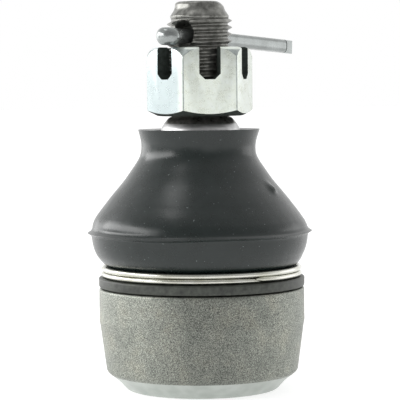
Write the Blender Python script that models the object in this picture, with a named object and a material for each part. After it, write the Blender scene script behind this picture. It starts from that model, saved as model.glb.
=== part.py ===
"""Tie rod end: a ball stud that tilts and turns in a forged socket.

Dimensions are in millimetres, and MM turns them into Blender's metres. The origin is the centre of
the end cover's flat bottom, +Z runs up the stud, and the threaded shank points along +Y.
"""
import math

import bmesh
import bpy
from mathutils import Matrix, Vector

MM = 0.001
WELD = 0.001              # points closer than this, in mm, are one point
FULL_TURN = 2.0 * math.pi

# Gap between pieces that touch or run on each other.
GAP = 0.3

# Rows of points in one pitch of a thread: its crest and its root.
THREAD_ROWS = 2

# Ball stud.
BALL_RADIUS = 11.0
BALL_Z = 17.5
BALL_FLAT_RADIUS = 3.0
STUD_NECK_RADIUS = 5.6
TAPER_BOTTOM_Z = 33.3
TAPER_TOP_Z = 48.7
TAPER_TOP_RADIUS = 7.18
TAPER_RATIO = 1.0 / 8.0   # change of diameter over length
STUD_THREAD_RADIUS = 6.0
STUD_THREAD_PITCH = 1.25
STUD_THREAD_Z = (50.4, 68.2)
DOG_POINT_RADIUS = 4.5
DOG_POINT_Z = 70.4
STUD_TOP_Z = 71.7
PIN_HOLE_RADIUS = 2.3
PIN_HOLE_Z = 65.6

# Socket housing: forged head, bored from below.
HEAD_RADIUS = 19.0
SHOULDER_Z = 19.0
MOUTH_Z = 24.0
BOOT_GROOVE_RADIUS = 15.0
BOOT_LIP_RADIUS = 15.6
LIP_RADIUS = 14.3
LIP_HOLE_RADIUS = 12.0
LIP_THICKNESS = 1.2
BORE_RADIUS = 13.0
COVER_BORE_RADIUS = 14.4
COVER_LEDGE_Z = 3.4
THROAT_RADIUS = 10.5
THROAT_Z = 22.8

# Shank: a forged neck that leads to a male thread.
SHANK_Z = 12.5
SHANK_RADIUS = 7.9
SHANK_THREAD_RADIUS = 8.0
SHANK_THREAD_PITCH = 1.5
SHANK_THREAD_Y = (48.0, 86.5)
SHANK_END_Y = 88.5

# Pieces stacked under the ball, from the cover up.
COVER_RADIUS = COVER_BORE_RADIUS - GAP
COVER_THICKNESS = 1.6
COVER_PAD_RADIUS = 8.0
SPRING_RADII = (6.0, 3.2)
SPRING_WIRE_RADIUS = 0.45
SPRING_TURNS = 2.2
PLATE_Z = (4.0, 4.8)
CUP_Z = 5.1
BEARING_RADIUS = BORE_RADIUS - GAP
BEARING_BALL_RADIUS = BALL_RADIUS + GAP

# Dust boot, its wire ring and its neck ring.
BOOT_TOP_Z = 48.1
BOOT_FIN_RADIUS = 20.75
BOOT_FIN_Z = 29.2
RING_RADIUS = 18.2
RING_WIRE_RADIUS = 0.45
RING_Z = 21.4
RING_PITCH = 0.95
RING_TURNS = 1.96
NECK_RING_RADII = (7.8, 8.7)
NECK_RING_Z = (44.2, 47.4)

# Castle nut.
NUT_ACROSS_FLATS = 17.0
NUT_Z = (51.1, 63.2)
NUT_TURN = math.radians(12.2)
NUT_SLOT_WIDTH = 3.65
NUT_SLOT_DEPTH = 5.9
NUT_SLOT_CORNER = 0.9
NUT_BORE_RADIUS = STUD_THREAD_RADIUS + GAP
NUT_COUNTERSINK = 0.6

# Cotter pin: two half-round legs side by side, joined by an eye.
PIN_TURN = math.radians(37.2)
PIN_DROOP = math.radians(3.0)
PIN_Z = 65.1
PIN_LEG_RADIUS = 1.3
PIN_EYE_WIRE_RADIUS = 1.4
PIN_LEG_GAP = 0.16
PIN_EYE_RADIUS = 1.3
PIN_EYE_DISTANCE = 8.8
PIN_LEG_ENDS = (26.6, 30.2)


def material(name, colour, roughness, metallic):
    """Return a Principled material of one plain finish."""
    made = bpy.data.materials.new(name)
    made.use_nodes = True
    made.diffuse_color = (*colour, 1.0)
    shader = made.node_tree.nodes["Principled BSDF"]
    shader.inputs["Base Color"].default_value = (*colour, 1.0)
    shader.inputs["Roughness"].default_value = roughness
    shader.inputs["Metallic"].default_value = metallic
    return made


def mesh_object(name, bm, origin=(0.0, 0.0, 0.0), parent=None):
    """Turn a bmesh drawn in mm around the world origin into an object with its own origin."""
    origin = Vector(origin)
    bmesh.ops.transform(bm, matrix=Matrix.Scale(MM, 4) @ Matrix.Translation(-origin), verts=bm.verts)
    mesh = bpy.data.meshes.new(name)
    bm.to_mesh(mesh)
    bm.free()
    made = bpy.data.objects.new(name, mesh)
    bpy.context.scene.collection.objects.link(made)
    made.location = origin * MM
    if parent:
        made.parent = parent
        made.location = origin * MM - parent.location
    return made


def finish(made, finish_material, sharp_angle=math.radians(35.0)):
    """Give a piece its material and smooth shading between its sharp edges."""
    made.data.materials.append(finish_material)
    made.data.shade_smooth()
    made.data.set_sharp_from_angle(angle=sharp_angle)
    return made


def cut(made, cutter, operation="DIFFERENCE"):
    """Cut a piece, join it or trim it with another object, which becomes a hidden guide."""
    boolean = made.modifiers.new(cutter.name, "BOOLEAN")
    boolean.object = cutter
    boolean.operation = operation
    boolean.solver = "EXACT"
    cutter.hide_render = True
    cutter.display_type = "WIRE"


def turned_ring(profile, steps):
    """Turn a closed outline of (radius, z) points round Z into a body with a hole through it."""
    bm = bmesh.new()
    points = [bm.verts.new((radius, 0.0, z)) for radius, z in profile]
    edges = [bm.edges.new((points[i - 1], points[i])) for i in range(len(points))]
    bmesh.ops.spin(bm, geom=points + edges, cent=(0, 0, 0), axis=(0, 0, 1), angle=FULL_TURN, steps=steps)
    bmesh.ops.remove_doubles(bm, verts=bm.verts, dist=WELD)
    bmesh.ops.recalc_face_normals(bm, faces=bm.faces)
    return bm


def bridged(rings, thread=None):
    """Join closed rings of points, one after the other, into a body with flat ends.

    thread is (first, last) of the rings that make a thread, where each turn leads into the next.
    """
    bm = bmesh.new()
    loops = [[bm.verts.new(point) for point in ring] for ring in rings]
    first, last = thread or (0, -1)
    for row, (lower, upper) in enumerate(zip(loops, loops[1:])):
        lower_next, upper_next = lower, upper
        if first <= row < last:
            lower_next = loops[min(row + THREAD_ROWS, last)]
            upper_next = loops[min(row + 1 + THREAD_ROWS, last)]
        for i in range(len(lower) - 1):
            bm.faces.new((lower[i], lower[i + 1], upper[i + 1], upper[i]))
        if lower_next is not upper_next:
            bm.faces.new((lower[-1], lower_next[0], upper_next[0], upper[-1]))
    bm.faces.new(reversed(loops[0]))
    bm.faces.new(loops[-1])
    bmesh.ops.remove_doubles(bm, verts=bm.verts, dist=WELD)
    bmesh.ops.dissolve_degenerate(bm, edges=bm.edges, dist=WELD)
    bmesh.ops.recalc_face_normals(bm, faces=bm.faces)
    return bm


def circle(radius, z, steps):
    """Return the points of a level circle."""
    angles = [FULL_TURN * i / steps for i in range(steps)]
    return [Vector((radius * math.cos(a), radius * math.sin(a), z)) for a in angles]


def turned(profile, steps):
    """Turn an outline of (radius, z) points round Z into a solid with flat ends."""
    return bridged([circle(radius, z, steps) for radius, z in profile])


def thread_rings(radius, pitch, ends, steps):
    """Return the rings of a right-hand V thread, its crest and root running out at both ends."""
    depth = 0.6134 * pitch
    bottom, top = ends
    turns = math.ceil((top - bottom) / pitch) + 1
    rings = []
    for row in range(-THREAD_ROWS, THREAD_ROWS * turns + 1):
        ring = []
        for i in range(steps):
            z = bottom + pitch * (row / THREAD_ROWS + i / steps)
            inside = bottom < z < top
            r = radius - depth if row % THREAD_ROWS or not inside else radius
            angle = FULL_TURN * i / steps
            ring.append(Vector((r * math.cos(angle), r * math.sin(angle), min(max(z, bottom), top))))
        rings.append(ring)
    return rings


def arc(radius, centre_z, first, last, count):
    """Return (radius, z) points on a ball's outline between two angles above its equator."""
    angles = [first + (last - first) * i / count for i in range(count + 1)]
    return [(radius * math.cos(a), centre_z + radius * math.sin(a)) for a in angles]


def coil(radii, heights, turns, wire_radius, steps, sides=6):
    """Return the rings of a round wire wound from the first radius and height to the second."""
    count = round(turns * steps)
    rings = []
    for i in range(count + 1):
        part = i / count
        angle = FULL_TURN * turns * part
        outward = Vector((math.cos(angle), math.sin(angle), 0.0))
        centre = outward * (radii[0] + (radii[1] - radii[0]) * part)
        centre.z = heights[0] + (heights[1] - heights[0]) * part
        ring = []
        for side in range(sides):
            around = FULL_TURN * side / sides
            ring.append(centre + wire_radius * (outward * math.cos(around) + Vector((0, 0, math.sin(around)))))
        rings.append(ring)
    return rings


def build_socket_housing():
    """Forged head with its rolled bottom lip and boot neck, and the threaded shank behind it."""
    steps = 40
    outline = [
        (LIP_RADIUS, 0.0), (15.5, 0.8), (16.3, 2.1),
        (17.5, 2.8), (17.9, 3.6), (18.9, 12.5), (19.1, 15.3),
        (HEAD_RADIUS, 18.4), (18.5, SHOULDER_Z), (BOOT_GROOVE_RADIUS, SHOULDER_Z),
        (BOOT_GROOVE_RADIUS, MOUTH_Z - 1.0), (BOOT_LIP_RADIUS, MOUTH_Z - 0.8),
        (BOOT_LIP_RADIUS, MOUTH_Z - 0.3), (15.3, MOUTH_Z),
    ]
    head = mesh_object("socket_housing", turned(outline, steps))

    # The neck's sections, from inside the head outward: (y, half width, half height).
    sections = [(8.0, 13.5, 6.2), (18.0, 12.4, 6.2), (24.0, 10.6, 6.8), (31.0, 9.2, 7.6),
                (38.0, 8.4, 8.0), (44.0, SHANK_RADIUS, SHANK_RADIUS)]
    rings = [[(x * wide, z * tall, y) for x, z, _ in circle(1.0, 0.0, 24)] for y, wide, tall in sections]
    rings.append(circle(SHANK_RADIUS, 47.0, 24))
    thread = thread_rings(SHANK_THREAD_RADIUS, SHANK_THREAD_PITCH, SHANK_THREAD_Y, 24)
    end = circle(6.2, SHANK_END_Y, 24)
    shank_mesh = bridged(rings + thread + [end], (len(rings), len(rings) + len(thread) - 1))
    to_back = Matrix.Translation((0.0, 0.0, SHANK_Z)) @ Matrix.Rotation(-math.pi / 2.0, 4, "X")
    bmesh.ops.transform(shank_mesh, matrix=to_back, verts=shank_mesh.verts)
    cut(head, mesh_object("shank_body", shank_mesh), "UNION")

    beyond = 1.0
    bore = [
        (LIP_HOLE_RADIUS, -beyond), (LIP_HOLE_RADIUS, LIP_THICKNESS),
        (COVER_BORE_RADIUS, LIP_THICKNESS), (COVER_BORE_RADIUS, COVER_LEDGE_Z), (BORE_RADIUS, COVER_LEDGE_Z),
        (BORE_RADIUS, THROAT_Z - 1.5), (THROAT_RADIUS, THROAT_Z), (THROAT_RADIUS, THROAT_Z + 0.3),
        (12.0, MOUTH_Z), (12.0, MOUTH_Z + beyond),
    ]
    cut(head, mesh_object("bore_cutter", turned(bore, steps)))
    finish(head, material("forged_steel", (0.33, 0.33, 0.31), 0.6, 0.8))


def build_ball_stud(parent):
    """Ball, slim neck, ground taper, threaded end with its cross hole, and dog point."""
    steps = 24
    low = -math.acos(BALL_FLAT_RADIUS / BALL_RADIUS)
    high = math.acos(STUD_NECK_RADIUS / BALL_RADIUS)
    ball = arc(BALL_RADIUS, BALL_Z, low, high, 10)
    taper_bottom_radius = TAPER_TOP_RADIUS + (TAPER_TOP_Z - TAPER_BOTTOM_Z) * TAPER_RATIO / 2.0
    stem = [
        (STUD_NECK_RADIUS, TAPER_BOTTOM_Z - 3.0), (taper_bottom_radius, TAPER_BOTTOM_Z),
        (TAPER_TOP_RADIUS, TAPER_TOP_Z), (STUD_THREAD_RADIUS - 0.2, TAPER_TOP_Z + 1.1),
    ]
    lower = [circle(radius, z, steps) for radius, z in ball + stem]
    thread = thread_rings(STUD_THREAD_RADIUS, STUD_THREAD_PITCH, STUD_THREAD_Z, steps)
    tip = [(STUD_THREAD_RADIUS - 0.55, STUD_THREAD_Z[1] + 0.7), (DOG_POINT_RADIUS, DOG_POINT_Z),
           (DOG_POINT_RADIUS, STUD_TOP_Z - 0.4), (DOG_POINT_RADIUS - 0.5, STUD_TOP_Z)]
    rings = lower + thread + [circle(radius, z, steps) for radius, z in tip]
    stud_mesh = bridged(rings, (len(lower), len(lower) + len(thread) - 1))
    stud = mesh_object("ball_stud", stud_mesh, (0.0, 0.0, BALL_Z), parent)

    reach = 10.0
    drill = turned([(PIN_HOLE_RADIUS, -reach), (PIN_HOLE_RADIUS, reach)], 16)
    across = Matrix.Rotation(-PIN_TURN, 4, "Z") @ Matrix.Rotation(math.pi / 2.0, 4, "X")
    bmesh.ops.transform(drill, matrix=Matrix.Translation((0.0, 0.0, PIN_HOLE_Z)) @ across, verts=drill.verts)
    cut(stud, mesh_object("pin_hole_cutter", drill))
    finish(stud, material("stud_steel", (0.30, 0.31, 0.32), 0.4, 0.9))


def build_bearings():
    """Two plastic seats that hold the ball from above and below."""
    steps = 24
    plastic = material("bearing_plastic", (0.75, 0.74, 0.68), 0.5, 0.0)
    upper_z = (BALL_Z + 0.15, BALL_Z + 4.7)
    first, last = (math.asin((z - BALL_Z) / BEARING_BALL_RADIUS) for z in upper_z)
    inside = arc(BEARING_BALL_RADIUS, BALL_Z, last, first, 4)
    outside = [(BEARING_RADIUS, upper_z[0]), (BEARING_RADIUS, THROAT_Z - 1.7), (10.9, upper_z[1])]
    upper = mesh_object("upper_bearing", turned_ring(inside + outside, steps))
    finish(upper, plastic)

    hole_radius = 2.5
    low = -math.acos(hole_radius / BEARING_BALL_RADIUS)
    high = math.asin(-0.15 / BEARING_BALL_RADIUS)
    inside = arc(BEARING_BALL_RADIUS, BALL_Z, low, high, 8)
    outside = [(BEARING_RADIUS, BALL_Z - 0.15), (BEARING_RADIUS, CUP_Z + 4.0), (9.5, CUP_Z), (hole_radius, CUP_Z)]
    lower = mesh_object("lower_bearing", turned_ring(inside + outside, steps))
    finish(lower, plastic.copy())


def build_preload_parts():
    """Pressure plate, conical spring and end cover, which press the seats on the ball."""
    rim = BEARING_RADIUS - 0.3
    plate_bottom, plate_top = PLATE_Z
    plate = mesh_object("pressure_plate", turned([(rim, plate_bottom), (rim, plate_top)], 24))
    finish(plate, material("plate_steel", (0.55, 0.55, 0.56), 0.4, 1.0))

    spring_z = (COVER_THICKNESS + GAP + SPRING_WIRE_RADIUS, plate_bottom - GAP - SPRING_WIRE_RADIUS)
    wire = coil(SPRING_RADII, spring_z, SPRING_TURNS, SPRING_WIRE_RADIUS, 20)
    spring = mesh_object("preload_spring", bridged(wire))
    finish(spring, material("spring_steel", (0.42, 0.42, 0.44), 0.35, 1.0))

    flange_z = LIP_THICKNESS + GAP
    cover = mesh_object("end_cover", turned([
        (COVER_PAD_RADIUS, 0.0), (COVER_PAD_RADIUS + COVER_THICKNESS, flange_z),
        (COVER_RADIUS, flange_z), (COVER_RADIUS, flange_z + COVER_THICKNESS),
        (COVER_PAD_RADIUS + 0.9, flange_z + COVER_THICKNESS), (COVER_PAD_RADIUS - 0.6, COVER_THICKNESS)], 32))
    finish(cover, material("cover_steel", (0.60, 0.61, 0.60), 0.45, 0.9))


def build_dust_boot(parent):
    """Rubber boot: bead and ring groove at the bottom, moulding fin, cone and flared neck."""
    outside = [
        (19.05, 19.3), (19.05, 20.7), (17.45, 20.8), (17.45, 23.2), (18.5, 24.3), (19.3, 25.6),
        (19.9, 27.2), (BOOT_FIN_RADIUS, BOOT_FIN_Z), (19.85, 30.4), (19.15, 32.0), (17.65, 34.0),
        (15.6, 36.45), (13.8, 38.7), (11.25, 42.4), (10.55, 44.6), (10.7, 46.5), (11.26, BOOT_TOP_Z),
    ]
    inside = [
        (9.0, BOOT_TOP_Z), (9.0, 43.6), (9.4, 42.0), (12.1, 38.0), (14.5, 34.8), (16.8, 32.2),
        (18.2, 30.2), (18.6, 29.0), (17.6, 27.0), (16.8, 25.2), (15.9, 24.3), (15.9, 23.1),
        (15.3, 22.6), (15.3, 19.3),
    ]
    boot = mesh_object("dust_boot", turned_ring(outside + inside, 32), (0.0, 0.0, BALL_Z), parent)
    finish(boot, material("boot_rubber", (0.035, 0.04, 0.04), 0.5, 0.0))


def build_boot_rings(parent):
    """Two-turn wire ring round the boot's foot, and the ring in its neck that the stud turns in."""
    top = RING_Z + RING_PITCH * RING_TURNS
    wire = coil((RING_RADIUS, RING_RADIUS), (RING_Z, top), RING_TURNS, RING_WIRE_RADIUS, 32)
    ring = mesh_object("boot_retaining_ring", bridged(wire))
    finish(ring, material("ring_wire", (0.72, 0.70, 0.62), 0.3, 1.0))

    inner, outer = NECK_RING_RADII
    bottom, top = NECK_RING_Z
    neck_profile = [(outer, bottom), (outer, top), (inner, top), (inner, bottom)]
    neck = mesh_object("boot_neck_ring", turned_ring(neck_profile, 24), (0.0, 0.0, BALL_Z), parent)
    finish(neck, material("neck_ring_steel", (0.55, 0.55, 0.55), 0.4, 1.0))


def build_castle_nut(parent):
    """Hexagon trimmed by a domed turning, bored through, with a slot in the middle of each flat."""
    bottom, top = NUT_Z
    corner = NUT_ACROSS_FLATS / math.sqrt(3.0)
    hexagon = turned([(corner, bottom - 1.0), (corner, top + 1.0)], 6)
    # A flat, not a corner, faces -Y before the nut is turned.
    bmesh.ops.transform(hexagon, matrix=Matrix.Rotation(NUT_TURN, 4, "Z"), verts=hexagon.verts)
    nut = mesh_object("castle_nut", hexagon, (0.0, 0.0, bottom), parent)

    dome = [(8.2, bottom), (10.4, bottom + 1.0), (10.4, top - 4.0), (9.7, top - 2.2), (8.8, top - 0.9), (7.6, top)]
    cut(nut, mesh_object("nut_trim", turned(dome, 36)), "INTERSECT")
    # The bore's thread starts inside a 45 degree countersink.
    bore = turned([(NUT_BORE_RADIUS + NUT_COUNTERSINK + 1.0, bottom - 1.0),
                   (NUT_BORE_RADIUS, bottom + NUT_COUNTERSINK), (NUT_BORE_RADIUS, top + 1.0)], 24)
    cut(nut, mesh_object("nut_bore_cutter", bore))

    half = NUT_SLOT_WIDTH / 2.0
    floor = top - NUT_SLOT_DEPTH
    section = [(-half, top + 1.0), (-half, floor + NUT_SLOT_CORNER), (-half + NUT_SLOT_CORNER, floor),
               (half - NUT_SLOT_CORNER, floor), (half, floor + NUT_SLOT_CORNER), (half, top + 1.0)]
    slots = bridged([[(x, y, z) for x, z in section] for y in (4.5, corner + 1.0)])
    bmesh.ops.transform(slots, matrix=Matrix.Rotation(NUT_TURN, 4, "Z"), verts=slots.verts)
    bmesh.ops.spin(slots, geom=slots.verts[:] + slots.edges[:] + slots.faces[:], cent=(0, 0, 0), axis=(0, 0, 1),
                   angle=FULL_TURN * 5 / 6, steps=5, use_duplicate=True)
    cut(nut, mesh_object("nut_slot_cutter", slots))
    finish(nut, material("zinc_plate", (0.78, 0.79, 0.77), 0.3, 0.9))


def build_cotter_pin(parent):
    """Two straight half-round legs and the eye that joins them, lying through the stud's hole."""
    offset = PIN_LEG_GAP / 2.0
    neck = PIN_EYE_DISTANCE - 3.1
    around = [math.radians(55.0 + 250.0 * i / 12) for i in range(13)]
    eye = [(PIN_EYE_DISTANCE - PIN_EYE_RADIUS * math.cos(a), PIN_EYE_RADIUS * math.sin(a)) for a in around]
    path = [(-PIN_LEG_ENDS[0], offset), (neck, offset)] + eye + [(neck, -offset), (-PIN_LEG_ENDS[1], -offset)]
    rings = []
    for i, (along, side) in enumerate(path):
        radius = PIN_LEG_RADIUS if along <= neck else PIN_EYE_WIRE_RADIUS
        before = Vector(path[max(i - 1, 0)])
        after = Vector(path[min(i + 1, len(path) - 1)])
        ahead = (after - before).normalized()
        ring = []
        for k in range(7):
            lift = math.pi * k / 6
            out = radius * math.sin(lift)
            ring.append(Vector((along - ahead.y * out, side + ahead.x * out, radius * math.cos(lift))))
        rings.append(ring)
    pin_mesh = bridged(rings)
    # The pin is drawn along +X, then laid towards -Y and turned, its eye a little above its legs.
    lay = Matrix.Rotation(-math.pi / 2.0 - PIN_TURN, 4, "Z") @ Matrix.Rotation(-PIN_DROOP, 4, "Y")
    bmesh.ops.transform(pin_mesh, matrix=Matrix.Translation((0.0, 0.0, PIN_Z)) @ lay, verts=pin_mesh.verts)
    pin = mesh_object("cotter_pin", pin_mesh, (0.0, 0.0, PIN_Z), parent)
    finish(pin, material("pin_steel", (0.50, 0.51, 0.51), 0.35, 1.0))


def build():
    """Build every piece; those that move with the stud hang from an empty at the ball's centre."""
    for old in list(bpy.data.objects):
        bpy.data.objects.remove(old, do_unlink=True)
    ball_centre = bpy.data.objects.new("ball_centre", None)
    bpy.context.scene.collection.objects.link(ball_centre)
    ball_centre.location = Vector((0.0, 0.0, BALL_Z)) * MM
    build_socket_housing()
    build_ball_stud(ball_centre)
    build_bearings()
    build_preload_parts()
    build_dust_boot(ball_centre)
    build_boot_rings(ball_centre)
    build_castle_nut(ball_centre)
    build_cotter_pin(ball_centre)
    bpy.context.view_layer.update()


build()
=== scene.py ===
"""Tie rod end in a pale studio: its detailed pieces, their finishes, the light and the camera.

Lengths are in millimetres, and MM turns them into metres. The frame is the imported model's own: the
origin is under the end cover, +Z runs up the stud, and the threaded shank points along +Y.
"""

import math

import bmesh
import bpy
import numpy as np
from mathutils import Matrix, Vector


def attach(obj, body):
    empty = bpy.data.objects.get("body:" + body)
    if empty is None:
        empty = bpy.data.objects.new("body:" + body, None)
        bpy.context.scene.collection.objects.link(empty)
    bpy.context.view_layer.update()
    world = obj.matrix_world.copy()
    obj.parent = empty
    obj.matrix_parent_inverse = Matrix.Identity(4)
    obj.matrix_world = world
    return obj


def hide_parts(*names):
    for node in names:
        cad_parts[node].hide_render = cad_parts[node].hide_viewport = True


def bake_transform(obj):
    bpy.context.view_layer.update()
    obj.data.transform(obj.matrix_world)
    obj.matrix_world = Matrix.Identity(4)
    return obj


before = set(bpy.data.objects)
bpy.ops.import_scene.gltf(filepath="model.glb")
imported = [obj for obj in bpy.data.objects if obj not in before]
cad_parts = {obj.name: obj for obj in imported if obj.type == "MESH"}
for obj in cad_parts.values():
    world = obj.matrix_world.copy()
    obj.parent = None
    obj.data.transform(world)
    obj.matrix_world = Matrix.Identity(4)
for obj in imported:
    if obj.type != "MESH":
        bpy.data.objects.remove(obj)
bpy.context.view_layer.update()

MM = 0.001
WELD = 0.001              # points closer than this, in mm, are one point
FULL_TURN = 2.0 * math.pi
STEPS = 144               # points round a large turned piece
FINE_STEPS = 96           # points round a small one
CORNER_SPANS = 4          # straight spans in a rounded corner

BALL_RADIUS = 11.0
BALL_Z = 17.5
SHANK_Z = 12.5
SHANK_THREAD_RADIUS = 8.0
SHANK_THREAD_PITCH = 1.5
STUD_THREAD_RADIUS = 6.0
STUD_THREAD_PITCH = 1.25
STUD_SHOULDER_Z = 49.2    # the top of the ground taper
HEAD_RADIUS = 19.0
BOOT_SEAM_Z = 34.0        # the boot's foot and its neck meet here
NUT_TURN = math.radians(12.2)
PIN_TURN = math.radians(37.2)
PIN_DROOP = math.radians(3.0)
PIN_Z = 65.1
PIN_HOLE_Z = 65.6


# Meshes ------------------------------------------------------------------------------------------

def rounded(corners, closed=False):
    """Return an outline whose corners, each (radius, z, rounding), are rounded off."""
    count = len(corners)
    outline = []
    for i, (radius, z, rounding) in enumerate(corners):
        corner = Vector((radius, z))
        at_end = not closed and i in (0, count - 1)
        if at_end or not rounding:
            outline.append(corner)
            continue
        before = Vector(corners[i - 1][:2]) - corner
        after = Vector(corners[(i + 1) % count][:2]) - corner
        reach = min(rounding, 0.48 * before.length, 0.48 * after.length)
        first = corner + before.normalized() * reach
        last = corner + after.normalized() * reach
        for k in range(CORNER_SPANS + 1):
            s = k / CORNER_SPANS
            outline.append(first * (1 - s) ** 2 + corner * 2 * s * (1 - s) + last * s ** 2)
    return [(p.x, p.y) for p in outline]


def smooth_curve(knots, per_span):
    """Return points on a smooth curve through (radius, z) knots."""
    k = [Vector(p) for p in knots]
    k = [2 * k[0] - k[1]] + k + [2 * k[-1] - k[-2]]
    curve = []
    for i in range(1, len(k) - 2):
        for j in range(per_span):
            s = j / per_span
            curve.append(0.5 * (2 * k[i] + (k[i + 1] - k[i - 1]) * s
                                + (2 * k[i - 1] - 5 * k[i] + 4 * k[i + 1] - k[i + 2]) * s ** 2
                                + (3 * k[i] - k[i - 1] - 3 * k[i + 1] + k[i + 2]) * s ** 3))
    curve.append(k[-2])
    return [(p.x, p.y) for p in curve]


def refined(outline, longest, closed=False):
    """Return an outline with extra points, so that no span is longer than the length given."""
    spans = list(zip(outline, outline[1:] + outline[:1] if closed else outline[1:]))
    fine = []
    for a, b in spans:
        parts = max(1, math.ceil(math.dist(a, b) / longest))
        fine += [tuple(np.array(a) + (np.array(b) - np.array(a)) * i / parts) for i in range(parts)]
    return fine if closed else fine + [outline[-1]]


def turned(outline, steps):
    """Return the rings of points that an outline of (radius, z) points makes when turned round Z."""
    angles = FULL_TURN * np.arange(steps) / steps
    radius, z = np.array(outline, float).T
    return np.stack([np.outer(radius, np.cos(angles)), np.outer(radius, np.sin(angles)),
                     np.repeat(z[:, None], steps, 1)], 2)


def skinned(name, rings, loop=False, helix=None):
    """Make an object from rings of points in mm: a tube with flat ends, or a loop without any.

    helix is (first ring, last ring, rings in a pitch) of a thread, where each turn leads into the next.
    """
    count, steps = rings.shape[:2]
    first, last, pitch_rings = helix or (0, -1, 0)
    bm = bmesh.new()
    verts = [[bm.verts.new(p) for p in ring] for ring in rings]
    for row in range(count if loop else count - 1):
        lower, upper = verts[row], verts[(row + 1) % count]
        lower_next, upper_next = lower, upper
        if first <= row < last:
            lower_next = verts[min(row + pitch_rings, last)]
            upper_next = verts[min(row + 1 + pitch_rings, last)]
        for i in range(steps - 1):
            bm.faces.new((lower[i], lower[i + 1], upper[i + 1], upper[i]))
        if lower_next is not upper_next:
            bm.faces.new((lower[-1], lower_next[0], upper_next[0], upper[-1]))
    if not loop:
        bm.faces.new(reversed(verts[0]))
        bm.faces.new(verts[-1])
    bmesh.ops.remove_doubles(bm, verts=bm.verts, dist=WELD)
    bmesh.ops.dissolve_degenerate(bm, edges=bm.edges, dist=WELD)
    bmesh.ops.recalc_face_normals(bm, faces=bm.faces)
    return shown(name, bm)


def shown(name, bm):
    """Turn a bmesh in mm into an object in metres."""
    bmesh.ops.scale(bm, vec=(MM, MM, MM), verts=bm.verts)
    mesh = bpy.data.meshes.new(name)
    bm.to_mesh(mesh)
    bm.free()
    made = bpy.data.objects.new(name, mesh)
    bpy.context.scene.collection.objects.link(made)
    return made


def cut(made, cutter, operation="DIFFERENCE"):
    """Cut a piece with another object, join it to it or trim it by it, and use that object up."""
    boolean = made.modifiers.new("cut", "BOOLEAN")
    boolean.object = cutter
    boolean.operation = operation
    boolean.solver = "EXACT"
    settle(made)
    bpy.data.objects.remove(cutter, do_unlink=True)


def settle(made):
    """Make a piece's modifiers permanent."""
    bpy.context.view_layer.update()
    result = bpy.data.meshes.new_from_object(made.evaluated_get(bpy.context.evaluated_depsgraph_get()))
    made.modifiers.clear()
    made.data = result


def soften_edges(made, width):
    """Round a piece's sharp edges by a small width in mm."""
    bevel = made.modifiers.new("edges", "BEVEL")
    bevel.width = width * MM
    bevel.segments = 2
    bevel.limit_method = "ANGLE"
    bevel.angle_limit = math.radians(28.0)
    settle(made)


def finish(made, materials, sharp_angle=math.radians(40.0), zone=None):
    """Give a piece its materials and smooth shading.

    zone(centre in mm, normal) picks each face's material, where there are several.
    """
    made.data.materials.clear()
    for one in materials:
        made.data.materials.append(one)
    for polygon in made.data.polygons:
        polygon.material_index = zone(Vector(polygon.center) / MM, polygon.normal) if zone else 0
    made.data.shade_smooth()
    made.data.set_sharp_from_angle(angle=sharp_angle)


# One pitch of a rolled thread's profile: (share of the pitch, share of the depth).
THREAD_PROFILE = [(0.0, 0.0), (0.07, 0.04), (0.36, 0.9), (0.43, 1.0), (0.57, 1.0), (0.64, 0.9), (0.93, 0.04)]


def thread_rings(radius, pitch, ends, steps, limit):
    """Return the rings of a right-hand thread round Z; limit(z) trims its radius."""
    depth = 0.6134 * pitch
    bottom, top = ends
    turns = math.ceil((top - bottom) / pitch) + 1
    angles = FULL_TURN * np.arange(steps) / steps
    rings = []
    for turn in range(-1, turns):
        for share, sunk in THREAD_PROFILE:
            z = bottom + pitch * (turn + share + np.arange(steps) / steps)
            r = np.full(steps, radius - depth * sunk)
            r[(z <= bottom) | (z >= top)] = radius - depth
            z = np.clip(z, bottom, top)
            r = np.minimum(r, limit(z))
            rings.append(np.stack([r * np.cos(angles), r * np.sin(angles), z], 1))
    return np.array(rings)


def swept(path, sections):
    """Return rings: for each point of a path, its section's (across, up) points set square to the path."""
    path = np.array(path, float)
    ahead = np.gradient(path, axis=0)
    ahead /= np.linalg.norm(ahead, axis=1)[:, None]
    across = np.cross(ahead, (0.0, 0.0, 1.0))
    across /= np.linalg.norm(across, axis=1)[:, None]
    up = np.cross(across, ahead)
    return np.array([p + np.outer(s[:, 0], a) + np.outer(s[:, 1], u)
                     for p, s, a, u in zip(path, sections, across, up)])


def round_section(radius, sides):
    """Return the (across, up) points of a round wire's section."""
    around = FULL_TURN * np.arange(sides) / sides
    return np.stack([radius * np.cos(around), radius * np.sin(around)], 1)


def moved(rings, matrix):
    """Return rings moved by a matrix."""
    m = np.array(matrix)
    return rings @ m[:3, :3].T + m[:3, 3]


# Finishes ----------------------------------------------------------------------------------------

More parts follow.
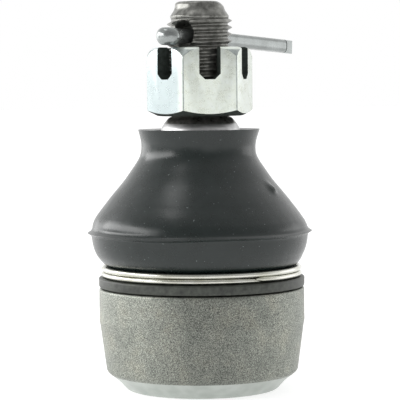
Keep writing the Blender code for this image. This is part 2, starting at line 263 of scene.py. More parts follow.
class Finish:
    """A Principled material and the texture nodes that drive it, in the frame's own coordinates."""

    def __init__(self, name, **sockets):
        self.material = bpy.data.materials.new(name)
        self.material.use_nodes = True
        self.tree = self.material.node_tree
        self.shader = self.tree.nodes["Principled BSDF"]
        for socket, value in sockets.items():
            self.shader.inputs[socket.replace("_", " ")].default_value = value
        self.place = self.tree.nodes.new("ShaderNodeTexCoord").outputs["Object"]

    def node(self, kind, **inputs):
        """Add a node; an input that is a socket is linked, any other is set."""
        made = self.tree.nodes.new(kind)
        for name, value in inputs.items():
            socket = made.inputs[name.replace("_", " ")]
            if isinstance(value, bpy.types.NodeSocket):
                self.tree.links.new(value, socket)
            else:
                socket.default_value = value
        return made

    def stretched(self, scale):
        """Return the place scaled by three factors."""
        return self.node("ShaderNodeMapping", Vector=self.place, Scale=scale).outputs["Vector"]

    def noise(self, size, detail=2.0, roughness=0.5, place=None):
        """Return noise with blotches of about this size in mm."""
        made = self.node("ShaderNodeTexNoise", Vector=place or self.place, Scale=1.0 / (size * MM),
                         Detail=detail, Roughness=roughness)
        return made.outputs["Fac"]

    def ramp(self, value, *stops):
        """Return a colour that follows a value through (position, colour) stops."""
        made = self.node("ShaderNodeValToRGB", Fac=value)
        elements = made.color_ramp.elements
        while len(elements) < len(stops):
            elements.new(0.5)
        for element, (position, colour) in zip(elements, stops):
            element.position = position
            element.color = (*colour, 1.0) if isinstance(colour, tuple) else (colour, colour, colour, 1.0)
        return made.outputs["Color"]

    def blend(self, factor, first, second, kind="MIX"):
        """Return a mix of two colours."""
        made = self.tree.nodes.new("ShaderNodeMix")
        made.data_type = "RGBA"
        made.blend_type = kind
        for name, value in (("Factor_Float", factor), ("A_Color", first), ("B_Color", second)):
            socket = next(s for s in made.inputs if s.identifier == name)
            if isinstance(value, bpy.types.NodeSocket):
                self.tree.links.new(value, socket)
            else:
                socket.default_value = value
        return next(s for s in made.outputs if s.identifier == "Result_Color")

    def span(self, value, low, high):
        """Return a 0 to 1 value stretched from low to high."""
        made = self.node("ShaderNodeMapRange", Value=value)
        made.inputs["To Min"].default_value = low
        made.inputs["To Max"].default_value = high
        return made.outputs["Result"]

    def across(self, left, right):
        """Return a value that goes from one (x in mm, value) to another."""
        x = self.node("ShaderNodeSeparateXYZ", Vector=self.place).outputs["X"]
        made = self.node("ShaderNodeMapRange", Value=x)
        for socket, value in (("From Min", left[0] * MM), ("From Max", right[0] * MM),
                              ("To Min", left[1]), ("To Max", right[1])):
            made.inputs[socket].default_value = value
        return made.outputs["Result"]

    def drive(self, socket, source):
        """Drive one of the shader's sockets."""
        self.tree.links.new(source, self.shader.inputs[socket])

    def bump(self, *layers):
        """Raise the surface by (height, depth in mm, strength) layers, one on the other."""
        normal = None
        for height, depth, strength in layers:
            made = self.node("ShaderNodeBump", Height=height, Distance=depth * MM, Strength=strength)
            if normal:
                self.tree.links.new(normal, made.inputs["Normal"])
            normal = made.outputs["Normal"]
        self.drive("Normal", normal)


def forged_finish():
    """Shot-blasted forging: grey, with fine pitted grain, faint patches and painted light on its left and
    right flanks.
    """
    made = Finish("forged_steel", Metallic=0.75)
    grain = made.noise(0.18, 3.0, 0.7)
    patches = made.noise(4.0, 3.0, 0.6)
    tone = made.ramp(grain, (0.35, (0.06, 0.06, 0.06)), (0.50, (0.215, 0.223, 0.205)),
                     (0.65, (0.44, 0.458, 0.42)))
    tint = made.ramp(patches, (0.36, (0.74, 0.76, 0.72)), (0.52, (0.88, 0.89, 0.84)),
                     (0.68, (1.0, 0.98, 0.89)))
    tone = made.blend(0.8, tone, tint, "MULTIPLY")
    # Painted light: the left and right flanks are lightened and the middle a little darkened.
    tone = made.blend(1.0, tone, made.across((-10.0, 1.40), (-2.0, 0.93)), "MULTIPLY")
    made.drive("Base Color", made.blend(1.0, tone, made.across((4.0, 0.95), (15.0, 1.43)), "MULTIPLY"))
    made.drive("Roughness", made.span(grain, 0.34, 0.58))
    made.bump((made.noise(0.8, 2.0), 0.05, 0.25), (grain, 0.04, 0.6))
    return made.material


def machined_finish():
    """Turned and rolled steel, clean and pale."""
    made = Finish("machined_steel", Metallic=0.9)
    rings = made.noise(0.25, 2.0, 0.5, made.stretched((0.05, 0.05, 1.0)))
    cloud = made.noise(3.0, 2.0)
    made.drive("Base Color", made.ramp(cloud, (0.35, (0.42, 0.45, 0.42)), (0.65, (0.50, 0.53, 0.50))))
    made.drive("Roughness", made.span(rings, 0.28, 0.46))
    made.bump((rings, 0.01, 0.3))
    return made.material


def zinc_finish():
    """Bright zinc plate: cloudy and dimpled, faintly yellow in the middle, with painted bluish shade on its
    left side and painted shade on its right.
    """
    made = Finish("zinc_plate", Metallic=0.8)
    cloud = made.noise(1.6, 3.0, 0.6)
    speck = made.noise(0.45, 2.0, 0.6)
    tone = made.ramp(cloud, (0.32, (0.66, 0.70, 0.62)), (0.50, (0.74, 0.79, 0.72)),
                     (0.68, (0.78, 0.83, 0.79)))
    tone = made.blend(0.4, tone, made.ramp(speck, (0.30, 0.65), (0.40, 1.0)), "MULTIPLY")
    # Painted shade: the left side is a darker, bluish grey.
    tone = made.blend(made.across((-4.2, 1.0), (-3.6, 0.0)), tone, (0.55, 0.625, 0.63, 1.0))
    # Painted shade: the right side is darker.
    made.drive("Base Color", made.blend(1.0, tone, made.across((5.0, 1.0), (8.0, 0.82)), "MULTIPLY"))
    made.drive("Roughness", made.span(cloud, 0.24, 0.32))
    made.bump((cloud, 0.012, 0.25), (speck, 0.010, 0.4))
    return made.material


def painted_shade_finish():
    """Painted shade: a near-black, dull, blotchy surface for the nut's bore, slots and underside, and the
    pin's sheared end.
    """
    made = Finish("painted_shade", Metallic=0.0, Specular_IOR_Level=0.1)
    mottling = made.noise(0.8, 3.0, 0.6)
    made.drive("Base Color", made.ramp(mottling, (0.30, (0.028, 0.034, 0.030)), (0.70, (0.065, 0.078, 0.070))))
    made.drive("Roughness", made.span(mottling, 0.45, 0.65))
    made.bump((mottling, 0.02, 0.3))
    return made.material


def darkened_zinc_finish():
    """Darker, duller zinc: a painted dark reflection along the nut's corners, and darker shoulders."""
    made = Finish("darkened_zinc", Metallic=0.8)
    darkening = made.noise(0.6, 2.0)
    made.drive("Base Color", made.ramp(darkening, (0.30, (0.26, 0.29, 0.28)), (0.70, (0.42, 0.46, 0.45))))
    made.drive("Roughness", made.span(darkening, 0.35, 0.50))
    made.bump((darkening, 0.01, 0.3))
    return made.material


def dark_stud_finish():
    """Dark phosphated steel of the rolled thread, mottled."""
    made = Finish("phosphated_steel", Metallic=0.85)
    mottling = made.noise(1.1, 3.0, 0.6)
    made.drive("Base Color", made.ramp(mottling, (0.35, (0.13, 0.13, 0.12)), (0.70, (0.30, 0.30, 0.28))))
    made.drive("Roughness", made.span(mottling, 0.20, 0.42))
    made.bump((made.noise(0.3, 2.0), 0.015, 0.4))
    return made.material


def ground_finish():
    """Ground steel of the taper and ball: bright, with fine marks round it."""
    made = Finish("ground_steel", Metallic=1.0)
    marks = made.noise(0.12, 2.0, 0.5, made.stretched((0.04, 0.04, 1.0)))
    cloud = made.noise(1.5, 2.0)
    made.drive("Base Color", made.ramp(cloud, (0.35, 0.42), (0.65, 0.55)))
    made.drive("Roughness", made.span(marks, 0.30, 0.44))
    made.bump((marks, 0.005, 0.4))
    return made.material


def pin_finish():
    """Drawn half-round wire, satin and faintly clouded."""
    made = Finish("pin_steel", Metallic=0.85)
    cloud = made.noise(2.2, 2.0, 0.5)
    made.drive("Base Color", made.ramp(cloud, (0.30, (0.25, 0.265, 0.26)), (0.70, (0.32, 0.34, 0.335))))
    made.drive("Roughness", made.span(cloud, 0.18, 0.32))
    made.bump((made.noise(0.8, 2.0), 0.006, 0.25))
    return made.material


def wire_finish():
    """Bright drawn spring wire, faintly yellow."""
    made = Finish("ring_wire", Metallic=1.0)
    cloud = made.noise(4.0, 2.0)
    draw_lines = made.noise(0.12, 1.0, 0.5, made.stretched((0.03, 0.03, 1.0)))
    made.drive("Base Color", made.ramp(cloud, (0.35, (0.54, 0.54, 0.47)), (0.65, (0.65, 0.65, 0.60))))
    made.drive("Roughness", made.span(draw_lines, 0.14, 0.30))
    made.bump((draw_lines, 0.003, 0.2))
    return made.material


def rubber_finish():
    """Black moulded rubber: satin, faintly mottled, with a little pale dust on it."""
    made = Finish("boot_rubber", Metallic=0.0, Specular_IOR_Level=0.5)
    mottle = made.noise(2.6, 3.0, 0.55)
    specks = made.noise(0.30, 1.0, 0.4)
    base = made.ramp(mottle, (0.30, (0.006, 0.011, 0.010)), (0.70, (0.010, 0.016, 0.015)))
    dust = made.ramp(specks, (0.755, 0.0), (0.79, 1.0))
    made.drive("Base Color", made.blend(dust, base, (0.20, 0.23, 0.23, 1.0)))
    made.drive("Roughness", made.span(mottle, 0.22, 0.34))
    made.bump((made.noise(7.0, 2.0), 0.6, 0.22), (made.noise(0.5, 2.0), 0.01, 0.3), (dust, 0.02, 0.4))
    return made.material


def dusty_rubber_finish():
    """The boot's bead: the same rubber, greyed by oily dust."""
    made = Finish("dusty_rubber", Metallic=0.0, Specular_IOR_Level=0.5)
    dust = made.noise(1.2, 4.0, 0.65)
    made.drive("Base Color", made.ramp(dust, (0.35, (0.014, 0.016, 0.013)), (0.70, (0.066, 0.074, 0.060))))
    made.drive("Roughness", made.span(dust, 0.32, 0.60))
    made.bump((made.noise(4.0, 2.0), 0.3, 0.2), (dust, 0.04, 0.3))
    return made.material


def plastic_finish():
    """Greased, off-white bearing plastic."""
    made = Finish("bearing_plastic", Metallic=0.0)
    cloud = made.noise(3.0, 2.0)
    made.drive("Base Color", made.ramp(cloud, (0.3, (0.70, 0.68, 0.60)), (0.7, (0.80, 0.78, 0.70))))
    made.drive("Roughness", made.span(cloud, 0.22, 0.40))
    made.bump((made.noise(0.6), 0.01, 0.3))
    return made.material


def sheet_finish(name, low, high, roughness):
    """Pressed or spring steel between two greys."""
    made = Finish(name, Metallic=1.0)
    cloud = made.noise(2.0, 3.0, 0.6)
    made.drive("Base Color", made.ramp(cloud, (0.3, low), (0.7, high)))
    made.drive("Roughness", made.span(cloud, roughness - 0.08, roughness + 0.08))
    made.bump((made.noise(0.4, 2.0), 0.012, 0.35))
    return made.material


# Pieces ------------------------------------------------------------------------------------------

def make_housing():
    """Forged head with its rolled lip and boot neck, and the neck and thread of its shank."""
    outline = rounded([
        (12.0, 0.0, 0.2), (14.0, 0.0, 0.5), (15.5, 1.7, 1.2), (17.1, 2.95, 0.3), (17.75, 3.5, 0.8),
        (18.93, 12.3, 0.2), (19.07, 12.8, 0.3), (19.04, 14.0, 1.0),
        (19.04, 18.9, 0.5), (15.0, 18.9, 0.3), (15.0, 23.0, 0.2), (15.6, 23.2, 0.15),
        (15.6, 23.7, 0.15), (15.3, 24.0, 0.2), (12.0, 24.0, 0.3), (10.5, 22.9, 0.3),
        (10.5, 22.5, 0.2), (13.0, 21.3, 0.2), (13.0, 3.4, 0.0), (14.4, 3.4, 0.0), (14.4, 1.2, 0.0),
        (12.0, 1.2, 0.2),
    ], closed=True)
    housing = skinned("forged_housing", turned(refined(outline, 1.5, closed=True), STEPS), loop=True)

    root, thread, end = shank_rings()
    helix = (len(root), len(root) + len(thread) - 1, len(THREAD_PROFILE))
    cut(housing, skinned("shank", np.concatenate([root, thread, end]), helix=helix), "UNION")

    shoulder_radius, lip_top, thread_start = 16.9, 2.95, 46.8

    def zone(centre, _):
        """Forged skin, or machined lip, bore, boot neck and thread."""
        inner = math.hypot(centre.x, centre.y) < shoulder_radius or centre.z < lip_top
        return 1 if (inner and centre.y < HEAD_RADIUS) or centre.y > thread_start else 0

    finish(housing, [forged_finish(), machined_finish()], math.radians(38.0), zone)
    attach(housing, "housing")
    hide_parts("socket_housing")


def shank_rings():
    """Rings of the shank, in three lots: a filleted root and tapering neck, the thread, and the end."""
    steps = 72
    angles = FULL_TURN * np.arange(steps) / steps
    side, up = np.cos(angles), -np.sin(angles)
    # Where the shank leaves the head it is an oval, (half width, half height).
    wide, tall = 12.4, 6.2
    x, z = wide * side, tall * up
    y = np.sqrt(HEAD_RADIUS ** 2 - x ** 2)
    # The fillet is widest at the sides, and the shoulder above leaves it no room.
    reach = 1.0 + 3.4 * side ** 2 - 0.85 * np.clip(up, 0.0, 1.0) ** 2
    normal = np.stack([side / wide, up / tall], 1)
    normal /= np.linalg.norm(normal, axis=1)[:, None]
    along = np.arcsin(x / HEAD_RADIUS) + reach * normal[:, 0] / HEAD_RADIUS
    foot_z = z + reach * 0.6 * normal[:, 1]
    sunk = HEAD_RADIUS - 0.25
    foot = np.stack([sunk * np.sin(along), sunk * np.cos(along), foot_z], 1)
    edge = np.stack([x, y, z], 1)
    out = np.stack([x * 0.97, y + reach, z], 1)
    root = [foot * np.array([16.0 / sunk, 16.0 / sunk, 0.97])]
    for s in np.linspace(0.0, 1.0, 9):
        root.append(foot * (1 - s) ** 2 + edge * 2 * s * (1 - s) + out * s ** 2)
    # Sections of the neck further out: (y, half width, half height).
    sections = smooth_sections([(24.5, 10.9, 6.6), (31.0, 9.2, 7.5), (38.0, 8.3, 7.95), (44.0, 7.9, 7.9)], 6)
    ridge = 0.12 * np.exp(-(up * 9.0) ** 2) * np.sign(side)
    for at, half_width, half_height in sections:
        root.append(np.stack([half_width * side + ridge, np.full(steps, at), half_height * up], 1))

    lift = Matrix.Translation((0.0, 0.0, SHANK_Z))
    lay = lift @ Matrix.Rotation(-math.pi / 2.0, 4, "X")
    relief = turned([(7.9, 46.6), (7.45, 47.2)], steps)
    thread = thread_rings(SHANK_THREAD_RADIUS, SHANK_THREAD_PITCH, (47.6, 87.6), steps,
                          lambda y: 7.0 + 0.9 * np.maximum(88.0 - y, 0.0))
    end = turned([(6.85, 88.2), (6.5, 88.5)], steps)
    root = np.concatenate([moved(np.array(root), lift), moved(relief, lay)])
    return root, moved(thread, lay), moved(end, lay)


def smooth_sections(knots, per_span):
    """Return (y, half width, half height) points on smooth curves through the knots."""
    widths = smooth_curve([(y, width) for y, width, _ in knots], per_span)
    heights = smooth_curve([(y, height) for y, _, height in knots], per_span)
    return [(y, width, height) for (y, width), (_, height) in zip(widths, heights)]


def make_stud():
    """Ball, slim neck, ground taper, rolled thread with its cross hole, and dog point."""
    flat_radius, root_radius = 3.0, 5.8
    angles = np.linspace(-math.acos(flat_radius / BALL_RADIUS), math.acos(root_radius / BALL_RADIUS), 40)
    ball = [(BALL_RADIUS * math.cos(a), BALL_Z + BALL_RADIUS * math.sin(a)) for a in angles]
    stem = rounded([
        (*ball[-1], 0.0), (5.6, 30.0, 1.5), (8.14, 33.3, 0.6), (7.27, 48.3, 0.3),
        (6.75, STUD_SHOULDER_Z, 0.5), (5.9, 50.2, 0.3), (5.3, 50.5, 0.0),
    ])[1:]
    lower = turned(ball + refined(stem, 2.0), FINE_STEPS)
    thread = thread_rings(STUD_THREAD_RADIUS, STUD_THREAD_PITCH, (50.6, 68.55), FINE_STEPS,
                          lambda z: 5.4 + np.maximum(68.7 - z, 0.0))
    tip = turned(rounded([
        (5.4, 68.6, 0.0), (5.45, 68.95, 0.2), (4.6, 70.2, 0.5), (4.5, 71.3, 0.5), (3.9, 71.66, 0.4),
        (1.0, 71.7, 0.0),
    ]), FINE_STEPS)
    # The dog point's edge is knocked down on one side.
    x, z = tip[:, :, 0], tip[:, :, 2]
    tip[:, :, 2] = z - 0.55 * np.clip((x - 2.9) / 1.5, 0.0, 1.0) ** 1.5 * np.clip((z - 70.3) / 1.0, 0.0, 1.0)
    helix = (len(lower), len(lower) + len(thread) - 1, len(THREAD_PROFILE))
    stud = skinned("stud", np.concatenate([lower, thread, tip]), helix=helix)

    hole = rounded([(3.7, -6.9, 0.0), (2.9, -5.5, 0.5), (2.3, -4.9, 0.4), (2.3, 4.9, 0.4), (2.9, 5.5, 0.5),
                    (3.7, 6.9, 0.0)])
    across = Matrix.Rotation(-PIN_TURN, 4, "Z") @ Matrix.Rotation(math.pi / 2.0, 4, "X")
    drill = skinned("drill", moved(turned(hole, 48), Matrix.Translation((0.0, 0.0, PIN_HOLE_Z)) @ across))
    cut(stud, drill)

    def zone(centre, _):
        """Dark thread and dog point, or the ground taper and ball."""
        return 0 if centre.z > STUD_SHOULDER_Z else 1

    finish(stud, [dark_stud_finish(), ground_finish()], math.radians(45.0), zone)
    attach(stud, "stud")
    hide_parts("ball_stud")


def make_nut():
    """Castle nut: a hexagon trimmed by its chamfers, bored, with a slot in the middle of each flat."""
    bottom, top = 50.6, 63.2
    across_flats = 17.35
    # A hexagon with a narrow face along each of its six corners.
    reach, narrow = across_flats / math.sqrt(3.0) - 0.08, math.radians(0.75)
    corners = [FULL_TURN * k / 6 + side * narrow for k in range(6) for side in (-1, 1)]
    hexagon = np.array([[(reach * math.cos(a), reach * math.sin(a), z) for a in corners]
                        for z in (bottom - 1.0, top + 1.0)])
    nut = skinned("slotted_nut", moved(hexagon, Matrix.Rotation(NUT_TURN, 4, "Z")))

    dome = rounded([(6.4, bottom, 0.0), (7.8, bottom, 0.4), (10.6, bottom + 1.4, 0.3), (10.6, top - 3.0, 0.4),
                    (9.95, top - 1.75, 0.7), (9.35, top - 0.65, 0.7), (8.5, top, 0.3), (7.3, top, 0.0)])
    cut(nut, skinned("trim", turned(dome, STEPS)), "INTERSECT")
    bore = rounded([(7.8, bottom - 1.0, 0.0), (6.05, bottom + 0.5, 0.0), (6.05, top - 0.5, 0.0),
                    (7.6, top + 1.0, 0.0)])
    cut(nut, skinned("bore", turned(bore, FINE_STEPS)))

    # A slot's half width and depth, the chamfer in its bottom corners, and how much it flares.
    half, depth, corner, flare = 3.75 / 2.0, 5.9, 1.0, 1.08
    floor = top - depth
    section = [(-half, top + 1.0), (-half, floor + corner), (-half + corner, floor), (half - corner, floor),
               (half, floor + corner), (half, top + 1.0)]
    for k in range(6):
        block = np.array([[(x, y, z) for x, z in section] for y in (4.0, 11.0)])
        block[1, :, 0] *= flare
        turn = Matrix.Rotation(NUT_TURN + FULL_TURN * k / 6, 4, "Z")
        cut(nut, skinned("slot", moved(block, turn)))
    soften_edges(nut, 0.2)

    def from_flat(v):
        """Return the angle round Z from the middle of the nearest flat."""
        return (math.atan2(v.y, v.x) - NUT_TURN) % (FULL_TURN / 6) - FULL_TURN / 12

    def zone(centre, normal):
        """Bright outside, its corners with a painted dark reflection and its darker shoulders, or painted
        shade in the bore, slots and underside.
        """
        r = math.hypot(centre.x, centre.y)
        aside = abs(r * math.sin(from_flat(centre)))
        deep = across_flats / 2.0 - r * math.cos(from_flat(centre))
        in_slot = centre.z > floor - 0.05 and deep > 0.15 and aside < half * flare + 0.06
        # The bore, slots and underside get painted shade.
        if r < 6.6 or in_slot or centre.z < bottom + max(0.5 * (r - 7.8), 0.0) + 0.15:
            return 1
        # The corner faces get a painted dark reflection; the shoulders are only darker.
        on_corner = abs(normal.z) < 0.2 and r > 9.5 and abs(from_flat(normal)) > math.radians(4.0)
        on_shoulder = 0.3 < normal.z < 0.75 and r > 8.9
        return 2 if on_corner or on_shoulder else 0

    finish(nut, [zinc_finish(), painted_shade_finish(), darkened_zinc_finish()], math.radians(14.0), zone)
    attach(nut, "nut")
    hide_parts("castle_nut")


def make_pin():
    """Split pin: two half-round legs side by side, and the eye that joins them."""
    leg_height, eye_height, thickness = 1.28, 1.56, 1.2
    eye_radius, eye_at, offset = 1.05, 9.25, 0.05
    neck = eye_at - 2.3
    around = np.radians(np.linspace(48.0, 312.0, 33))
    eye = [(eye_at - eye_radius * math.cos(a), eye_radius * math.sin(a)) for a in around]
    # One leg is the shorter, and its sheared end gets painted shade.
    short, sheared = -26.6, -26.35
    first = [(x, offset) for x in (short, sheared, *np.linspace(-25.7, neck - 0.6, 38))]
    second = [(x, -offset) for x in np.linspace(neck - 0.6, -30.2, 42)]
    # The eye is bent down a little.
    path = [(x, y, -0.45 * min(max((x - 3.0) / 4.0, 0.0), 1.0)) for x, y in first + eye + second]

    # The legs' outer sides are nearly flat, with rounded edges; the eye's is round.
    half_turn = np.linspace(0.0, math.pi, 17)
    side, rise = np.sin(half_turn), np.cos(half_turn)
    sections = []
    for x, y, _ in path:
        share = min(max((x - 4.6) / 1.6, 0.0), 1.0)
        height = leg_height + (eye_height - leg_height) * share
        out = thickness * side ** (0.5 + 0.5 * share)
        sections.append(np.stack([-out, height * np.sign(rise) * np.abs(rise) ** (0.72 + 0.28 * share)], 1))
    rings = swept(path, sections)
    lay = Matrix.Rotation(-math.pi / 2.0 - PIN_TURN, 4, "Z") @ Matrix.Rotation(-PIN_DROOP, 4, "Y")
    lay = Matrix.Translation((0.0, 0.0, PIN_Z)) @ lay
    pin = skinned("split_pin", moved(rings, lay))

    def zone(centre, _):
        """Drawn wire, or painted shade on the sheared end of the shorter leg."""
        local = lay.inverted() @ centre
        return 1 if local.y > 0.0 and local.x < (short + sheared) / 2.0 + 0.05 else 0

    finish(pin, [pin_finish(), painted_shade_finish()], math.radians(50.0), zone)
    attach(pin, "pin")
    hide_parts("cotter_pin")


def settled(rings):
    """Return the boot's rings as the soft rubber sits: a little to one side, its fin slightly wavy.

    A small nub that the mould left stands on its right flank.
    """
    x, y, z = rings[:, :, 0], rings[:, :, 1], rings[:, :, 2]
    angle = np.arctan2(y, x)
    # Only the outside leans and bulges; the radius of the wall's middle at each height tells it apart.
    mid_wall = np.interp(z, [23.0, 25.2, 27.0, 29.0, 30.2, 32.0, 34.0, 38.7, 42.4, 48.0],
                         [16.5, 17.9, 18.8, 19.4, 19.1, 18.3, 16.9, 13.3, 10.6, 9.9])
    outside = np.hypot(x, y) > mid_wall
    nub = 0.8 * outside * np.exp(-(((angle + math.radians(27.0)) * 15.0) ** 2 + (z - 37.5) ** 2) / 0.7)
    x, y = x + nub * np.cos(angle), y + nub * np.sin(angle)
    near_fin = np.exp(-((z - 29.2) / 1.6) ** 2) * np.clip((np.hypot(x, y) - 17.5) / 2.0, 0.0, 1.0)
    wave = 0.08 * np.sin(2.0 * angle + 2.4) + 0.10 * np.sin(5.0 * angle + 2.2)
    aside = np.interp(z, [23.0, 25.0, 30.0, 32.0, 44.0, 48.0], [0.0, -0.28, -0.28, -0.45, -0.42, -0.28])
    return np.stack([x + aside * outside, y, z + near_fin * wave], 2)


def make_boot():
    """Rubber boot in two closed pieces that meet at one seam: the foot with its fin, and the neck."""
    rubber = rubber_finish()
    below_fin = smooth_curve([(17.7, 23.1), (18.3, 23.75), (18.9, 24.6), (19.45, 25.7), (19.85, 27.0),
                              (20.08, 28.5)], 5)
    fin = rounded([(20.08, 28.5, 0.0), (20.2, 28.75, 0.1), (20.85, 29.15, 0.1), (20.2, 29.55, 0.15),
                   (19.95, 30.0, 0.0)])[1:-1]
    # The cone is straight where the two pieces meet.
    upper_curve = smooth_curve([(19.95, 30.0), (19.8, 30.6), (19.52, 31.3), (19.1, 32.0), (18.55, 32.8),
                                (18.02, 33.5), (17.63, BOOT_SEAM_Z), (17.24, 34.5), (16.7, 35.2),
                                (15.6, 36.55), (13.8, 38.7), (12.25, 40.9), (11.25, 42.4), (10.75, 43.5),
                                (10.58, 44.8), (10.72, 46.2), (11.2, 47.95)], 6)
    seam = min(range(len(upper_curve)), key=lambda i: abs(upper_curve[i][1] - BOOT_SEAM_Z))
    bead = rounded([(15.3, 19.1, 0.0), (19.05, 19.1, 0.35), (19.1, 20.85, 0.3), (17.45, 20.95, 0.2),
                    (17.45, 23.0, 0.3), (17.7, 23.1, 0.0)])[:-1]
    foot_outside = bead + below_fin + fin + upper_curve[:seam + 1]
    foot_inside = smooth_curve([(16.2, BOOT_SEAM_Z), (17.5, 32.0), (18.2, 30.2), (18.6, 29.0), (17.6, 27.0),
                                (16.8, 25.2), (15.9, 24.3)], 4) + [(15.9, 23.1), (15.3, 22.6)]
    foot = skinned("boot_foot", settled(turned(foot_outside + foot_inside, STEPS)), loop=True)

    def zone(centre, _):
        """Clean rubber, or the dusty bead under the ring."""
        return 1 if centre.z < 22.0 else 0

    finish(foot, [rubber, dusty_rubber_finish()], math.radians(50.0), zone)
    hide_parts("dust_boot")
    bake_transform(foot)

    lip = rounded([(11.2, 47.95, 0.0), (11.28, 48.15, 0.08), (10.9, 48.1, 0.0)])[1:]
    cone_inside = smooth_curve([(9.8, 42.0), (12.8, 38.0), (16.2, BOOT_SEAM_Z)], 8)
    neck_inside = [(9.0, 47.9), (9.0, 43.6)] + cone_inside
    neck = skinned("boot_neck", settled(turned(upper_curve[seam:] + lip + neck_inside, STEPS)), loop=True)
    finish(neck, [rubber], math.radians(50.0))
    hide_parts("dust_boot")
    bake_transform(neck)


def make_retaining_ring():
    """Wire ring of two turns round the boot's foot; its ends overlap and it crosses itself behind."""
    wire, radius = 0.48, 18.12
    low, high = 21.5, 22.5
    tip, tail = math.radians(-58.0), math.radians(-50.0)
    behind = math.radians(90.0)
    start, end = tip, tail + 2.0 * FULL_TURN
    path = []
    sections = []
    for a in np.linspace(start, end, 560):
        # The wire climbs as it first passes behind, and drops back a turn later, there inside itself.
        past, past_again = a - behind, a - behind - FULL_TURN
        z = low + (high - low) * 0.5 * (math.tanh(past / 0.16) - math.tanh(past_again / 0.16))
        bulge = 0.42 * (math.exp(-(past / 0.3) ** 2) - math.exp(-(past_again / 0.3) ** 2))
        tuck = 0.35 * min(max((a - end + 0.5) / 0.35, 0.0), 1.0)
        rise = 0.16 * min(max((start + 0.3 - a) / 0.3, 0.0), 1.0)
        r = radius + bulge - tuck + 0.6 * rise
        path.append((r * math.cos(a), r * math.sin(a), z + rise - 0.3 * tuck))
        taper = min(1.0, 0.35 + (a - start) / 0.12, 0.5 + (end - a) / 0.05)
        sections.append(round_section(wire * taper, 12))
    ring = skinned("foot_ring", swept(path, sections))
    finish(ring, [wire_finish()], math.radians(60.0))
    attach(ring, "housing")
    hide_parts("boot_retaining_ring")


def make_neck_ring():
    """Steel ring in the boot's mouth."""
    outline = rounded([(8.7, 44.2, 0.15), (8.7, 47.4, 0.15), (7.8, 47.4, 0.2), (7.8, 44.2, 0.2)], closed=True)
    ring = skinned("mouth_ring", turned(outline, FINE_STEPS), loop=True)
    finish(ring, [sheet_finish("neck_ring_steel", 0.42, 0.6, 0.35)])
    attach(ring, "boot_collar")
    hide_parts("boot_neck_ring")


def make_bearings():
    """The two plastic seats over and under the ball."""
    plastic = plastic_finish()
    reach = BALL_RADIUS + 0.3

    def inner(low, high):
        """Return the seat's ball face between two heights."""
        ends = [math.asin((z - BALL_Z) / reach) for z in (low, high)]
        return [(reach * math.cos(a), BALL_Z + reach * math.sin(a), 0.0) for a in np.linspace(*ends, 14)]

    upper = inner(22.2, 17.65) + [(12.7, 17.65, 0.1), (12.7, 21.1, 0.3), (10.9, 22.2, 0.2)]
    lower = inner(6.5, 17.35) + [(12.7, 17.35, 0.1), (12.7, 9.1, 0.3), (9.5, 5.1, 0.4), (2.5, 5.1, 0.2)]
    for name, outline, node in (("seat_over_ball", upper, "upper_bearing"),
                                ("seat_under_ball", lower, "lower_bearing")):
        seat = skinned(name, turned(rounded(outline, closed=True), FINE_STEPS), loop=True)
        finish(seat, [plastic])
        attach(seat, "housing")
        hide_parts(node)


def make_preload_parts():
    """Pressure plate, conical spring and pressed end cover."""
    outline = rounded([(1.5, 4.0, 0.1), (12.4, 4.0, 0.2), (12.4, 4.8, 0.2), (1.5, 4.8, 0.1)], closed=True)
    plate = skinned("spring_plate", turned(outline, FINE_STEPS), loop=True)
    finish(plate, [sheet_finish("plate_steel", 0.40, 0.55, 0.38)])
    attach(plate, "housing")
    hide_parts("pressure_plate")

    share = np.linspace(0.0, 1.0, 106)
    angles = FULL_TURN * 2.2 * share
    radii = 6.0 - 2.8 * share
    path = np.stack([radii * np.cos(angles), radii * np.sin(angles), 2.35 + 0.9 * share], 1)
    coil = skinned("cone_spring", swept(path, [round_section(0.45, 12)] * len(path)))
    finish(coil, [sheet_finish("spring_steel", 0.26, 0.40, 0.32)], math.radians(60.0))
    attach(coil, "housing")
    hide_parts("preload_spring")

    outline = rounded([(0.5, 0.0, 0.0), (8.2, 0.0, 0.6), (9.7, 1.5, 0.6), (14.1, 1.5, 0.2), (14.1, 3.1, 0.3),
                       (8.9, 3.1, 0.6), (7.4, 1.6, 0.6), (0.5, 1.6, 0.0)])
    cover = skinned("pressed_cover", turned(outline, FINE_STEPS))
    finish(cover, [sheet_finish("cover_steel", 0.50, 0.64, 0.36)])
    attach(cover, "housing")
    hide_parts("end_cover")


# Studio ------------------------------------------------------------------------------------------

def make_floor():
    """A wide, pale, matt floor."""
    bm = bmesh.new()
    bmesh.ops.create_grid(bm, x_segments=8, y_segments=8, size=4000.0)
    bmesh.ops.translate(bm, vec=(0.0, 0.0, -0.05), verts=bm.verts)
    floor = shown("floor", bm)
    made = Finish("pale_floor", Roughness=0.9, Specular_IOR_Level=0.1, Emission_Strength=0.7)
    cloud = made.noise(60.0, 2.0)
    made.drive("Base Color", made.ramp(cloud, (0.3, 0.54), (0.7, 0.56)))
    made.drive("Emission Color", made.ramp(cloud, (0.3, 0.98), (0.7, 1.0)))
    floor.data.materials.append(made.material)


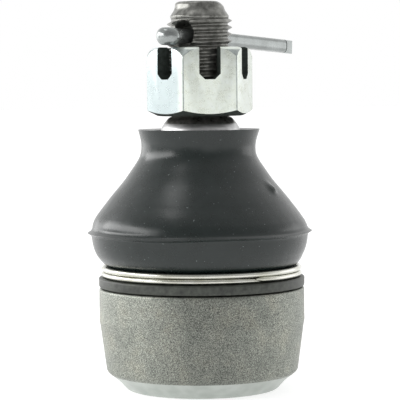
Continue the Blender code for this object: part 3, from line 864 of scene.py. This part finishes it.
def make_sky():
    """White backdrop whose light is dim in front of the object and bright beside, behind and above it."""
    world = bpy.data.worlds.new("studio")
    world.use_nodes = True
    tree = world.node_tree
    tree.nodes.clear()

    def node(kind, **inputs):
        """Add a node; an input that is a socket is linked, any other is set."""
        made = tree.nodes.new(kind)
        for name, value in inputs.items():
            if isinstance(value, bpy.types.NodeSocket):
                tree.links.new(value, made.inputs[name])
            else:
                made.inputs[name].default_value = value
        return made

    way = node("ShaderNodeTexCoord").outputs["Generated"]
    parts = node("ShaderNodeSeparateXYZ", Vector=way).outputs
    to_share = node("ShaderNodeMapRange", Value=parts["Y"])
    to_share.inputs["From Min"].default_value = -1.0
    around = node("ShaderNodeValToRGB", Fac=to_share.outputs["Result"])
    stops = around.color_ramp.elements
    stops.new(0.5)
    stops.new(0.8)
    # (share of the way from front to back, brightness)
    for stop, (position, grey) in zip(stops, [(0.10, 0.33), (0.5, 0.62), (0.8, 0.92), (1.0, 1.0)]):
        stop.position = position
        stop.color = (grey, grey, grey, 1.0)
    lit = node("ShaderNodeBackground", Color=around.outputs["Color"], Strength=1.2)
    white = node("ShaderNodeBackground", Color=(1.0, 1.0, 1.0, 1.0), Strength=1.0)
    seen = node("ShaderNodeLightPath").outputs["Is Camera Ray"]
    both = node("ShaderNodeMixShader", Fac=seen)
    tree.links.new(lit.outputs[0], both.inputs[1])
    tree.links.new(white.outputs[0], both.inputs[2])
    out = node("ShaderNodeOutputWorld")
    tree.links.new(both.outputs[0], out.inputs["Surface"])
    bpy.context.scene.world = world


def make_lamp(name, place, size, brightness):
    """A soft rectangular lamp at a place in mm, (wide, tall) in size and aimed at the object's middle."""
    light = bpy.data.lights.new(name, "AREA")
    light.shape = "RECTANGLE"
    light.size, light.size_y = size[0] * MM, size[1] * MM
    light.energy = brightness * math.pi * light.size * light.size_y
    lamp = bpy.data.objects.new(name, light)
    bpy.context.scene.collection.objects.link(lamp)
    lamp.location = Vector(place) * MM
    lamp.rotation_euler = (Vector((0.0, 0.0, 35.0)) - Vector(place)).to_track_quat("-Z", "Y").to_euler()


def make_camera():
    """Camera a little above the nut's seat, looking slightly down."""
    lens = bpy.data.cameras.new("camera")
    lens.lens = 175.0
    lens.sensor_width = 36.0
    lens.clip_start = 0.02
    lens.clip_end = 20.0
    camera = bpy.data.objects.new("camera", lens)
    bpy.context.scene.collection.objects.link(camera)
    camera.location = Vector((0.0, -360.0, 56.5)) * MM
    camera.rotation_euler = (math.radians(90.0 - 3.42), math.radians(0.5), 0.0)
    bpy.context.scene.camera = camera


make_housing()
make_stud()
make_nut()
make_pin()
make_boot()
make_retaining_ring()
make_neck_ring()
make_bearings()
make_preload_parts()

make_floor()
make_sky()
make_lamp("key_lamp", (-425.0, -5.0, 190.0), (670.0, 150.0), 4.9)
make_lamp("front_lamp", (195.0, -435.0, 20.0), (230.0, 230.0), 0.45)
make_lamp("left_panel", (-350.0, 300.0, 30.0), (340.0, 200.0), 1.4)
make_lamp("right_panel", (410.0, 190.0, 45.0), (300.0, 260.0), 0.9)
make_lamp("top_lamp", (-152.0, -58.0, 450.0), (150.0, 110.0), 2.4)
make_camera()
bpy.context.scene.view_settings.view_transform = "Standard"
